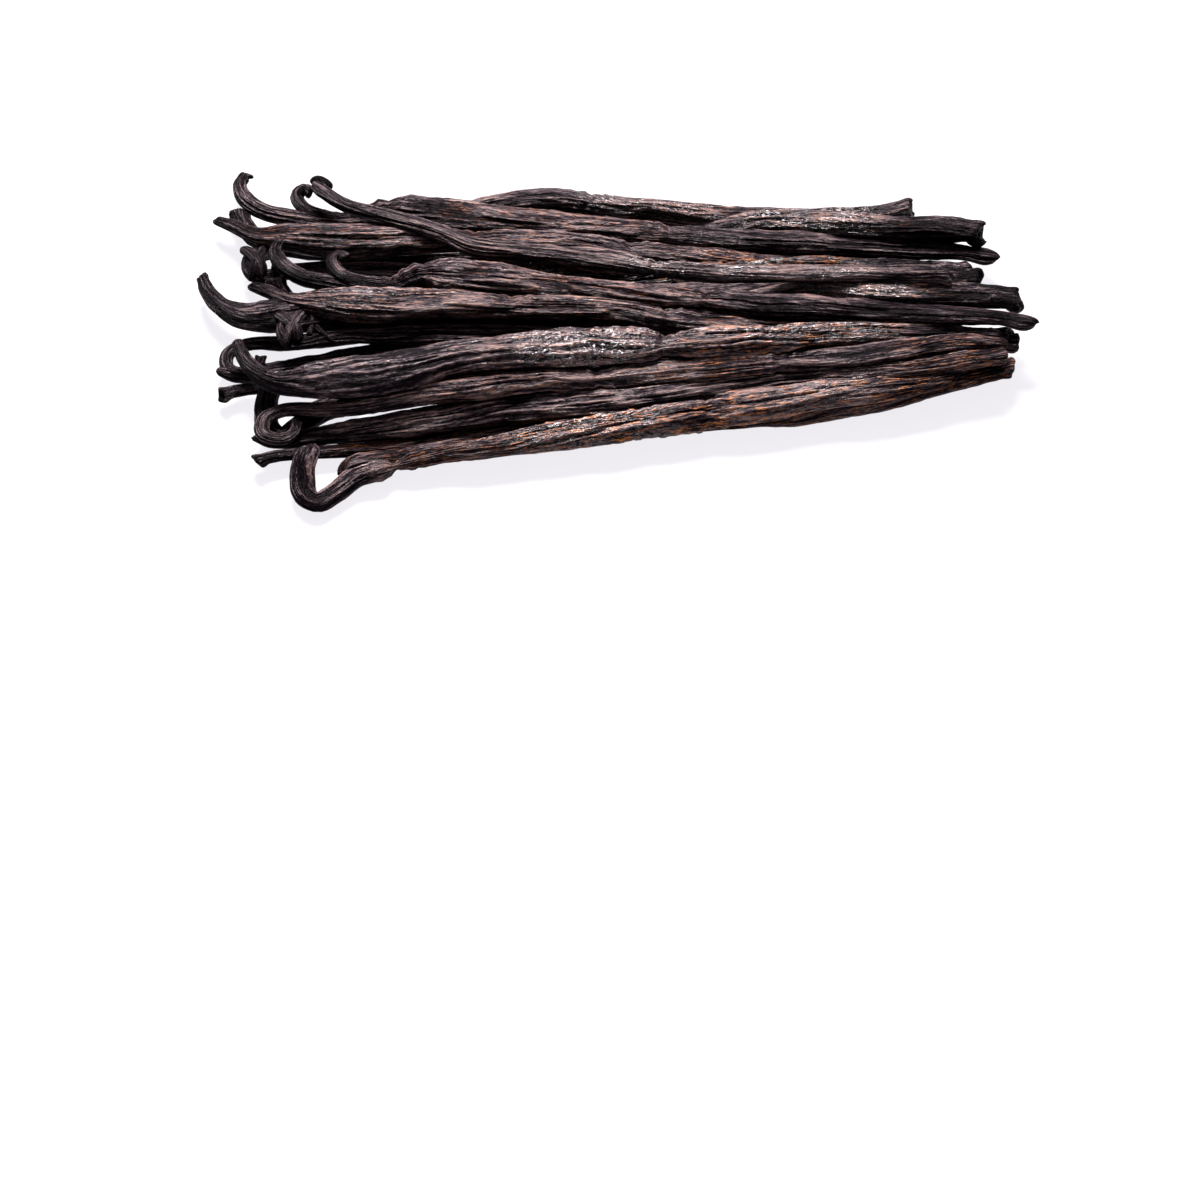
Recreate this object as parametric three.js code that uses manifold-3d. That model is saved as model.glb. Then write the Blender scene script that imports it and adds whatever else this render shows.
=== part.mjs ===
// A loose bundle of cured vanilla pods, lying on a table in two overlapping rows.
// Units are millimetres. +X runs from the hooked stem ends to the blunt blossom ends,
// +Y points to the back of the bundle, and +Z is up. The bundle rests on z = 0.
import * as THREE from "three";
import { mergeVertices } from "three/addons/utils/BufferGeometryUtils.js";
import Module from "manifold-3d";

// Driving sizes of a pod
const FLATNESS = 0.72; // a pod's thickness as a share of its width
const SIDES = 8; // sides round a pod of the front row
const BACK_SIDES = 6; // sides round a pod of the back row
const STATION_LENGTH = 18; // longest step between two sections, along a straight stretch
const STATION_TURN = 0.45; // largest bend between two sections, in radians
const STATION_SWELL = 1.6; // largest change of width between two sections
const TIP_WIDTH = 0.6; // width of the last section at each end, as a share of the pod's width there
const TIP_LENGTH = 0.3; // how far the next section lies from the end, as a share of the same width
const TRACE_STEPS = 160; // fine steps along a pod, from which its sections are picked

// The back row repeats the front row behind it. It carries the front row's back half,
// so its pods lie lower, and each mm that a pod is sunk moves it further back.
const BACK_ROW = new THREE.Vector3(-8, 18.7, 0);
const BACK_PER_SUNK = 0.84;
const SINK_SPREADS = 0.3; // share of a pod's points over which its sink grows from stem to body

// The low mound of broken and bent pods inside the bundle, which joins all the others
const CORE_CENTRE = new THREE.Vector3(19, 3, 0);
const CORE_HALF = new THREE.Vector3(62, 24, 8.5);
const CORE_SEGMENTS = 20;
const CORE_RINGS = 10;

const JOIN_TOLERANCE = 0.05; // the joined surface may move by this much, so that no slivers are left
const FLOOR_BLOCK = 400; // side of the block that takes away what would lie under the table top
const POD_COLOUR = 0x2a1c1a;

// Each pod's points run from its stem end to its blossom end: [x, y, height, width].
// sink says how much lower its twin in the back row lies, [at the stem, in the body].
const PODS = {
  crossing: {
    route: [
      [-66, 39, 9.5, 2.2], [-64, 36.5, 10, 2.7], [-59, 32, 10.5, 2.9], [-49, 27.5, 11.5, 3.6],
      [-38, 22.5, 12.5, 3.9], [-30.5, 18, 13, 4.4], [-16.5, 16.5, 12.5, 4.4], [-1.5, 14, 12.5, 4.8],
      [8.5, 12, 12.5, 4.1], [22.5, 10.3, 13, 4.4], [40, 9.8, 13.5, 3.8], [57.5, 9.8, 14, 3.5],
      [68, 9.6, 14, 3.9], [72.5, 9.5, 14, 4.7],
    ],
  },
  hindmost: {
    route: [
      [-60, 31, 2.5, 2.2], [-47, 33, 3, 3.4], [-36, 34.5, 3.5, 3.9], [-27.5, 35.9, 5.3, 4.4],
      [-14.5, 37.8, 6, 4.8], [1, 35.7, 5.5, 4.8], [9.5, 35.7, 5, 4.4], [18, 34.6, 4.5, 4.8],
      [31, 34, 4, 4.8], [44.5, 34, 4, 4.4], [57.5, 35.5, 4, 3.6], [64.5, 37, 4, 4.4],
    ],
  },
  lowBack: {
    route: [
      [-56, 27.5, 2.5, 2.6], [-44, 31, 2.8, 4.4], [-15, 36, 2.6, 5.2], [20, 32.5, 2.2, 4.6],
      [50, 30.5, 2.6, 4.6], [70, 30.5, 3, 3.8],
    ],
  },
  hooked: {
    sink: [4, 5],
    route: [
      [-58.4, 17, 10.5, 2.4], [-60, 18, 10.5, 2.4], [-61.5, 16.5, 10, 2.7], [-60, 13, 10, 2.9],
      [-55, 10.5, 10, 3.2], [-48.5, 9.5, 10.5, 3.4], [-42.5, 11.5, 11.5, 4.8], [-36, 10.5, 12, 7.5],
      [-27.5, 9.5, 12, 7.3], [-14.5, 7.5, 12, 6.1], [1, 5.5, 12, 5.8], [16, 4, 12, 5.1],
      [21, 3.5, 12, 4.6], [31, 2.5, 12, 5.3], [51, 1.5, 11.5, 5.3], [70.5, 0.5, 11, 4.6],
      [84, 0.2, 10, 3.2], [88.2, -0.6, 9.7, 3.7], [91.2, -0.9, 9.6, 2.4],
    ],
  },
  darkHook: {
    sink: [5, 4],
    route: [
      [-73, 23, 9, 2.2], [-74, 20.5, 8.5, 2.9], [-72.5, 16.5, 8.5, 3.4], [-68, 13, 8.5, 3.6],
      [-60, 11, 8.5, 3.6], [-49, 10, 8, 4.4], [-29.5, 7.5, 7.5, 5.3], [-3.5, 4.5, 7, 5.8],
      [29, 2, 6.5, 5.8], [57.5, 0.5, 6.5, 5.3], [74.5, 0, 6.5, 4.4],
    ],
  },
  plump: {
    sink: [2.5, 2.5],
    route: [
      [-79.5, 13, 6, 2.2], [-75.5, 10.5, 7, 2.9], [-70.5, 6.5, 8.5, 3.9], [-63, 4.5, 10, 6.3],
      [-55.5, 3.5, 10.5, 7.5], [-47, 3, 11, 7.5], [-36, 3, 11.5, 6.5], [-25, 2, 12, 5.1],
      [1, 0.5, 12, 5.1], [9.5, -1, 11.5, 5.3], [31, -1.5, 9.2, 5.4], [51, -2, 6.5, 5],
      [70.5, -1.5, 6, 4.6], [85.5, -2.5, 7, 4.1],
    ],
  },
  thick: {
    sink: [3, 3],
    route: [
      [-12, 8, 2.4, 2.9], [9.5, 9, 3, 4.8], [28, 10, 5.5, 5.6], [40, 9.5, 9, 5.8],
      [53, 7.5, 11, 5.8],
      [68, 6, 11.5, 5.3], [81, 6, 11, 5.3], [87.5, 5.5, 10.5, 4.8],
    ],
  },
  underPlump: {
    sink: [4, 1],
    route: [
      [-74.2, 14.2, 7, 3.7], [-73.2, 12, 6, 3.9], [-70.5, 9.3, 4, 3.9], [-64, 7.5, 3.2, 4.2],
      [-51, 6, 3.2, 4.8],
      [-25, 4, 3.5, 5.8], [14, 1, 3.5, 5.8], [53, -1, 4, 5.3], [74.5, -2, 5, 4.4],
      [87, -3.5, 6, 3.9],
    ],
  },
  claw: {
    sink: [3, 3],
    route: [
      [-67.5, 4, 8, 1.9], [-71, 1.5, 8, 2.4], [-72, -1, 7.5, 2.9], [-70.5, -4, 7, 2.9],
      [-67.5, -4, 7, 2.9], [-62, -2.5, 7, 3.4], [-47, -2.5, 7.5, 4.4], [-25, -2.5, 7.5, 5.3],
      [5, -3, 7, 5.8], [40, -3.5, 6.5, 5.3], [68, -3.5, 6, 4.4],
    ],
  },
  glossy: {
    sink: [2.5, 3.5],
    route: [
      [-82, -4, 7, 2.2], [-81, -7.5, 7, 2.9], [-78.5, -12, 7.5, 3.6], [-73, -16.5, 8.5, 5.2],
      [-64, -17, 9.5, 7.8], [-55.5, -16.5, 10, 9.2], [-47, -15, 10.5, 9.2], [-36, -12, 10.5, 7.8],
      [-25, -10, 10.5, 8], [-10, -8.5, 10.5, 9.5], [3, -8, 10.5, 8.7], [11.5, -8, 10.5, 5.6],
      [20.5, -7, 10.5, 7], [33.5, -6.5, 10.5, 6.5], [48.5, -4.5, 10, 5.8], [68, -3.5, 9, 4.4],
      [84, -3.5, 8, 2.9],
    ],
  },
  lowHook: {
    sink: [1, 4],
    route: [
      [-68.8, -24.8, 5, 2], [-69.6, -27.6, 4.5, 2.2], [-72.6, -29.2, 4.3, 2.6],
      [-76.2, -27.8, 4.3, 2.9], [-76.2, -24, 4.5, 2.9], [-72, -21.6, 5, 3],
      [-62, -22, 6, 3.5], [-51, -21, 7, 4.1],
      [-40.5, -19, 8, 5.1], [-31.5, -18, 8.5, 6.5], [-18.5, -16, 8.5, 5.6], [-5.5, -15.5, 8.5, 4.8],
      [11.5, -13.5, 8.5, 5.3], [27, -12.5, 9, 5.3], [36, -11.5, 9, 4.6], [51, -10, 9, 5.1],
      [64, -7.5, 9, 5.1], [74.5, -6, 9, 4.8], [84.5, -6, 8.5, 3.2],
    ],
  },
  darkTip: {
    sink: [0.5, 3],
    route: [
      [-78.5, -27, 2.5, 1.7], [-74, -28, 2.2, 3.2], [-64, -26.5, 2.2, 4.4], [-51, -25, 3, 5.8],
      [-38, -23.3, 4, 6.8], [-25, -21.4, 5, 6.7], [1, -19.5, 6, 6.5], [18, -17, 6.5, 5.8],
      [35.5, -14, 6.5, 5.8], [51, -13, 7, 5.3], [64, -11.5, 7.5, 5.1], [74.5, -10, 8, 4.8],
      [84, -8.5, 8, 3.9],
    ],
  },
  flared: {
    sink: [0, 0.5],
    route: [
      [-77.5, -34.5, 3, 3.2], [-74.5, -33, 2.8, 2.7], [-66.5, -31.5, 2.4, 2.9], [-53.5, -30, 2, 3.2],
      [-40.5, -28, 1.8, 3.4], [-25, -25, 2, 3.9], [-3.5, -23, 2.2, 4.4], [22.5, -19.5, 2.4, 4.4],
      [48.5, -16, 2.5, 4.4], [61.5, -14.5, 2.5, 3.4],
    ],
  },
  looped: {
    sink: [1, 1.5],
    route: [
      [-65.6, -31.6, 5.5, 4], [-67.2, -35.4, 4.8, 4.6], [-67.8, -39.4, 3.2, 4.8], [-67, -43.2, 2.2, 4.7],
      [-64.4, -45, 1.9, 4.3], [-61.2, -42.7, 1.9, 4.4], [-56.2, -38.2, 2.2, 4.9], [-51, -36.5, 2.8, 5],
      [-47.5, -35.5, 3, 2.9], [-44.5, -34.6, 3.3, 3.9], [-38, -33, 3.8, 4.1], [-27.5, -31.5, 4.4, 4.6],
      [-14.5, -28.5, 4.5, 6.3], [1, -25.5, 4.5, 7], [18, -22, 4.5, 7.3], [31, -20, 5, 7.5],
      [44.5, -17.5, 5.5, 6.8], [57.5, -16, 6, 6.1], [67, -14.5, 6, 4.6], [72.5, -13, 6, 3.9],
    ],
  },
  lowTail: {
    route: [
      [10, -24.6, 0.9, 0.8], [29, -22, 1.4, 2.4], [38.5, -21, 1.8, 3.9], [46.5, -19, 1.9, 4.4],
      [57.5, -16.5, 2.2, 4.8], [72.5, -12, 3.2, 4.8], [86, -9, 4.5, 4.1],
    ],
  },
  lobe: {
    route: [
      [-59.5, -36.5, 2, 4.2], [-55.5, -35, 2, 5.2], [-47, -32.5, 1.8, 4.4], [-29.5, -28.5, 1.8, 4.4],
      [-3.5, -25.5, 1.8, 4.4], [18, -22.5, 1.6, 3.4], [31, -20.5, 1.4, 1.9],
    ],
  },
};

const UP = new THREE.Vector3(0, 0, 1);

const wasm = await Module();
wasm.setup();

// The twin of a pod in the back row, sunk into the pile but not through the table top
function backRoute({ route, sink }) {
  return route.map(([x, y, height, width], i) => {
    const along = i / (route.length - 1);
    const wanted = THREE.MathUtils.lerp(sink[0], sink[1], Math.min(1, along / SINK_SPREADS));
    const lowest = Math.min(height, (width * FLATNESS) / 2);
    const sunk = Math.min(wanted, height - lowest);
    const back = BACK_ROW.y + BACK_PER_SUNK * sunk;
    return [x + BACK_ROW.x, y + back, height - sunk, width];
  });
}

// Fine points along a pod, each with its place, direction and width
function trace(route) {
  const curve = new THREE.CatmullRomCurve3(route.map(([x, y, z]) => new THREE.Vector3(x, y, z)));
  const points = [];
  for (let i = 0; i <= TRACE_STEPS; i++) {
    const t = i / TRACE_STEPS;
    const at = t * (route.length - 1);
    const before = Math.min(Math.floor(at), route.length - 2);
    const ease = THREE.MathUtils.smoothstep(at - before, 0, 1);
    points.push({
      place: curve.getPoint(t),
      direction: curve.getTangent(t),
      width: THREE.MathUtils.lerp(route[before][3], route[before + 1][3], ease),
    });
  }
  return points;
}

// Picks the points that need a section: more where a pod bends or swells, fewer where it is straight
function pickStations(points) {
  const picked = [points[0]];
  let last = points[0];
  let needed = 0;
  for (let i = 1; i < points.length - 1; i++) {
    const step = points[i].place.distanceTo(points[i - 1].place) / STATION_LENGTH;
    const turn = points[i].direction.angleTo(points[i - 1].direction) / STATION_TURN;
    const swell = Math.abs(points[i].width - points[i - 1].width) / STATION_SWELL;
    needed += step + turn + swell;
    const clear = points[i].place.distanceTo(last.place) > TIP_LENGTH * last.width;
    if (needed >= 1 && clear) {
      picked.push(points[i]);
      last = points[i];
      needed = 0;
    }
  }
  picked.push(points[points.length - 1]);
  return picked;
}

// A section moved along the pod and scaled, for the rounded ends
function endSection(station, inwards, scale) {
  const shift = station.direction.clone().multiplyScalar(inwards * TIP_LENGTH * station.width);
  return {
    place: station.place.clone().add(shift),
    direction: station.direction,
    width: station.width * scale,
  };
}

// The corners of one flattened section, which lies level across the pod
function sectionCorners(station, sides) {
  const across = new THREE.Vector3().crossVectors(station.direction, UP).normalize();
  const over = new THREE.Vector3().crossVectors(across, station.direction);
  const corners = [];
  for (let k = 0; k < sides; k++) {
    const angle = (2 * Math.PI * k) / sides;
    const corner = station.place.clone();
    corner.addScaledVector(across, (Math.cos(angle) * station.width) / 2);
    corner.addScaledVector(over, (Math.sin(angle) * station.width * FLATNESS) / 2);
    corners.push(corner);
  }
  return corners;
}

// One pod as a closed skin of triangles: its sections in order, closed by a fan at each end
function podGeometry(route, sides) {
  const inner = pickStations(trace(route));
  const first = inner[0];
  const last = inner[inner.length - 1];
  const stations = [
    endSection(first, 0, TIP_WIDTH),
    endSection(first, 1, 1),
    ...inner.slice(1, -1),
    endSection(last, -1, 1),
    endSection(last, 0, TIP_WIDTH),
  ];
  const corners = stations.flatMap((station) => sectionCorners(station, sides));
  corners.push(first.place, last.place);
  const triangles = [];
  for (let i = 0; i < stations.length - 1; i++) {
    for (let k = 0; k < sides; k++) {
      const next = (k + 1) % sides;
      const a = i * sides + k;
      const b = i * sides + next;
      triangles.push(a, a + sides, b, b, a + sides, b + sides);
    }
  }
  const end = (stations.length - 1) * sides;
  for (let k = 0; k < sides; k++) {
    const next = (k + 1) % sides;
    triangles.push(corners.length - 2, k, next);
    triangles.push(corners.length - 1, end + next, end + k);
  }
  const geometry = new THREE.BufferGeometry().setFromPoints(corners);
  geometry.setIndex(triangles);
  return geometry;
}

function coreGeometry() {
  const geometry = new THREE.SphereGeometry(1, CORE_SEGMENTS, CORE_RINGS);
  geometry.rotateX(Math.PI / 2);
  geometry.scale(CORE_HALF.x, CORE_HALF.y, CORE_HALF.z);
  geometry.translate(CORE_CENTRE.x, CORE_CENTRE.y, CORE_CENTRE.z);
  return geometry;
}

function floorGeometry() {
  const geometry = new THREE.BoxGeometry(FLOOR_BLOCK, FLOOR_BLOCK, FLOOR_BLOCK);
  geometry.translate(0, 0, -FLOOR_BLOCK / 2);
  return geometry;
}

// A closed geometry as a solid that can be joined and cut
function solidOf(geometry) {
  const bare = geometry.clone();
  bare.deleteAttribute("normal");
  bare.deleteAttribute("uv");
  const merged = mergeVertices(bare);
  const vertProperties = Float32Array.from(merged.getAttribute("position").array);
  const triVerts = Uint32Array.from(merged.getIndex().array);
  return new wasm.Manifold(new wasm.Mesh({ numProp: 3, vertProperties, triVerts }));
}

// The joined solid as a geometry, moved so that its box is centred over the origin
function geometryOf(solid) {
  const mesh = solid.getMesh();
  const geometry = new THREE.BufferGeometry();
  geometry.setAttribute("position", new THREE.BufferAttribute(mesh.vertProperties, 3));
  geometry.setIndex(new THREE.BufferAttribute(mesh.triVerts, 1));
  geometry.computeBoundingBox();
  const centre = geometry.boundingBox.getCenter(new THREE.Vector3());
  geometry.translate(-centre.x, -centre.y, -geometry.boundingBox.min.z);
  geometry.computeVertexNormals();
  return geometry;
}

// All pods and the core as one solid, without sealed hollows or loose scraps
function bundleSolid() {
  let joined = solidOf(coreGeometry());
  for (const pod of Object.values(PODS)) {
    joined = joined.add(solidOf(podGeometry(pod.route, SIDES)));
    if (pod.sink) {
      joined = joined.add(solidOf(podGeometry(backRoute(pod), BACK_SIDES)));
    }
  }
  const resting = joined.subtract(solidOf(floorGeometry()));
  const shells = resting.asOriginal().simplify(JOIN_TOLERANCE).decompose();
  return shells.reduce((best, shell) => (shell.volume() > best.volume() ? shell : best));
}

const material = new THREE.MeshStandardMaterial({ color: POD_COLOUR, roughness: 0.5, metalness: 0 });
const pods = new THREE.Mesh(geometryOf(bundleSolid()), material);
pods.name = "vanilla_pods";

const bundle = new THREE.Group();
bundle.add(pods);

export default bundle;
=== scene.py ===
"""The finished look of a loose bundle of cured vanilla pods, lying on a pale table top.

The tables give lengths in millimetres. Each pod is a fine mesh swept along its route, with
folds and wrinkles shaped into its skin. Together the pods replace the one plain solid.
"""

import math
import zlib

import bpy
import numpy as np
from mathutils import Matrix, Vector

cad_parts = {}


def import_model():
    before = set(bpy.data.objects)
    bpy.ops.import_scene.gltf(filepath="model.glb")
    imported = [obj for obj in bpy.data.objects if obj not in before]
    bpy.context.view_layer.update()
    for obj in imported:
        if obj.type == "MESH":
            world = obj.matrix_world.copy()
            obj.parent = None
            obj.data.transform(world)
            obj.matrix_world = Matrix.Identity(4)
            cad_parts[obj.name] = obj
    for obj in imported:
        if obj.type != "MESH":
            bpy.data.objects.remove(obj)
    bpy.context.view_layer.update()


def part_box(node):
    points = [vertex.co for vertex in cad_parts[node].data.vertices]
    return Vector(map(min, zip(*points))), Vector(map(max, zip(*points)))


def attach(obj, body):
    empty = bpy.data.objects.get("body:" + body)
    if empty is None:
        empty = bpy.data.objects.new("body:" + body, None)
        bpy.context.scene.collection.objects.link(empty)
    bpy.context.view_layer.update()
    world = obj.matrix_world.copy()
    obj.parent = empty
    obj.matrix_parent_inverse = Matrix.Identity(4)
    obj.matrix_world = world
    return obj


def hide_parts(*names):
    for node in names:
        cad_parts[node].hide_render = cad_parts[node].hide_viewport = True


MM = 0.001

# The camera looks from where the photograph was taken, through a long lens
PHOTO_SIDE = 1200  # pixels
MM_PER_PIXEL = 0.217
TABLE_ORIGIN_PIXEL = (616, 349)  # where the origin of the pods' table shows
PODS_SEEN_FROM = 50.0  # degrees above the table top
LENS = 600.0  # mm
SENSOR = 36.0
SEEN_TO = 50  # metres

# A pod's section and its fine mesh
FLATNESS = 0.72  # thickness as a share of the width
STEP = 0.75  # from one ring of points to the next
BACK_STEP = 0.85
INNER_STEP = 2.4
SCRAP_STEP = 0.35
ROUND_POINTS = 92
BACK_ROUND_POINTS = 64
SCRAP_ROUND_POINTS = 28
INNER_ROUND_POINTS = 22
TOP_DENSITY = 0.4  # how much closer the points lie over the top than beneath
TOP_TURN = 0.25  # where the top is on the way round
SEGMENT_SAMPLES = 24  # samples between two points of a route
LOWEST = 0.02  # nothing reaches lower over the table top
HIGHEST = 16.0  # and nothing higher, so that the look keeps the solid's height

# The back row repeats the front row behind it, sunk into the pile
BACK_ROW = (-8.0, 18.7)  # how far it lies from the front row, in x and y
BACK_PER_SUNK = 0.84  # further back for each mm of sinking, so that it looks unmoved
SINK_SPREADS = 0.3  # the first share of a route, where sinking changes to that of the body

# Margins on the bake picture, as shares of its width and of a strip's height
BAKE_EDGE = 0.004
BAKE_GAP = 0.02

# The room's light: the bright side's direction, then from, to, darkest and brightest
BRIGHT_SIDE = (-0.2, 0.85, 0.3)
ROOM_LEVELS = (-0.1, 0.8, 0.05, 1.0)
ROOM_COLOUR = (0.95, 0.93, 1.0, 1.0)

# Lights: name, azimuth and elevation in degrees, distance and size in metres, power, colour
LIGHTS = [
    ("key", -6, 44, 1.1, (0.5, 0.26), 60, (1.0, 0.93, 0.94)),
    ("front", 180, 4, 1.1, (0.8, 0.08), 6.5, (1.0, 0.96, 1.0)),
]

# The table top, which glows a little so that it is nearly white
FLOOR_HALF = 6.0  # metres
FLOOR_COLOUR = (0.12, 0.12, 0.12, 1.0)
FLOOR_ROUGHNESS = 0.8
FLOOR_SHINE = 0.1
FLOOR_GLOW_COLOUR = (0.975, 0.955, 1.0, 1.0)
FLOOR_GLOW = 0.86

# Rings that close an end: (distance in, as a share of the width, share of the full section)
CUT_DIMPLE = [(0.3, 0.1), (0.26, 0.36), (0.12, 0.62), (0.0, 0.84)]
CUT_RIM = [(0.03, 1.0), (0.12, 1.1), (0.26, 1.09), (0.42, 1.02), (0.6, 0.96), (0.85, 0.96)]
ROUND_TURNS = [0.12, 0.3, 0.5, 0.7, 0.88, 1.0]  # of the quarter turn over a round end

# Uneven ends, as shares of the width there
END_REACH = 1.6
END_LEAN = 0.16
END_LOBE = 0.09
END_LOBES = (2, 3, 5)  # bumps round the rim

# Skin relief: depths, lengths and widths in mm, on a pod of the nominal width
NOMINAL_WIDTH = 6.0
RELIEF_SIZES = (0.3, 1.3)  # the least and the most relief, on thin and on thick pods
RELIEF_LEVEL = 0.4  # how high the smooth pod lies in the relief
GIRTH_PER_WIDTH = 2.7
FOLD_DEPTH = 0.75
FOLD_LENGTH = 34
FOLDS_ROUND = 5
ROLL_DEPTH = 0.42
ROLL_LENGTH = 15
ROLL_WIDTH = 0.5
ROLL_SHARPNESS = 2.5
FEWEST_ROLLS = 10
WRINKLE_DEPTH = 0.12
WRINKLE_LENGTH = 6
WRINKLE_SHARPNESS = 1.5
GROOVE_DEPTH = 0.4
GROOVE_LENGTH = 24
GROOVE_SHARPNESS = 6
DENT_DEPTH = 0.35
DENT_LENGTH = 4.5
DENT_WIDTH = 3
FEWEST_DENTS = 5

# What bends the relief: (length in mm, cells round the pod, how far it moves things)
SWAY = (30, 4, 0.12)  # round the pod, as a share of a turn
RIPPLE = (6, 7, 0.04)
SLIDE = (8, 9, 6)  # along the pod, in mm
CREASE_SLIDE = (6, 5, 2)

# How light the skin is: a smooth stretch, how much the pods differ, and what the relief does:
# painted highlights where it stands out and painted shade in the grooves
TONE = 0.12
TONE_SPREAD = 0.05
ROLL_PAINTED_HIGHLIGHT = 0.6
WRINKLE_PAINTED_HIGHLIGHT = 0.16
GROOVE_PAINTED_SHADE = 0.3
FOLD_PAINTED_HIGHLIGHT = 0.2
DENT_PAINTED_HIGHLIGHT = 0.14

# The ends of a pod are darker, over these lengths in mm
STEM_DARKER = 0.23
STEM_LENGTH = 38.0
TIP_DARKER = 0.16
TIP_LENGTH = 22.0

# The skin material's noises: (scale along the pod and across it, detail, roughness)
FIBRES = ((0.22, 2.6, 2.6), 3.0, 0.62)
FLECKS = ((0.75, 2.4, 2.4), 3.0, 0.6)
BLOTCHES = ((0.07, 0.25, 0.25), 2.0, 0.5)
GLINTS = ((1.0, 3.6, 3.6), 1.0, 0.5)
GRAIN_SPREAD = 400  # each pod takes its grain from somewhere else, in mm

# How light the material is: a start, a share of the relief's lightness with its painted highlights
# and shade, and what fibres, flecks
# and blotches add: (noise from, noise to, share)
SHADE_SHARE = 0.8
SHADE_START = -0.24
RIDGE_SHARES = [(0.38, 0.62, 0.3), (0.38, 0.62, 0.24), (0.35, 0.65, 0.12)]

# The colours of the skin, from its furrows to its ridges, so that the furrows hold painted shade and
# the ridges painted highlights: (how light, colour)
SKIN_AND_PAINTED_RELIEF_COLOURS = [
    (0.18, (0.0016, 0.0009, 0.0015)),
    (0.42, (0.0092, 0.0048, 0.0074)),
    (0.66, (0.034, 0.0180, 0.0216)),
    (0.96, (0.150, 0.086, 0.074)),
]

# Orange streaks on warm skin. They set in between two values of each noise
STREAK_FIBRES = (0.53, 0.6)
STREAK_FLECKS = (0.42, 0.54)
STREAK_STRENGTH = 0.9
STREAK_COLOUR = (0.34, 0.105, 0.012)

# Wet specks on oily skin. They set in the same way, and change the roughness and the shine
OIL_BLOTCHES = (0.35, 0.5)
OIL_GLINTS = (0.46, 0.56)
WET_ROUGHNESS = -0.24
WET_SHINE = 0.9

# Dry skin: (flecks or lightness from, to, roughness or shine from, to)
DRY_ROUGHNESS = (0.3, 0.7, 0.34, 0.48)
DRY_SHINE = (0.3, 0.8, 0.03, 0.3)

# The finest relief, in metres
FIBRE_BUMP = 0.0007
FLECK_BUMP = 0.0006
OIL_BUMP = 0.0005

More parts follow.
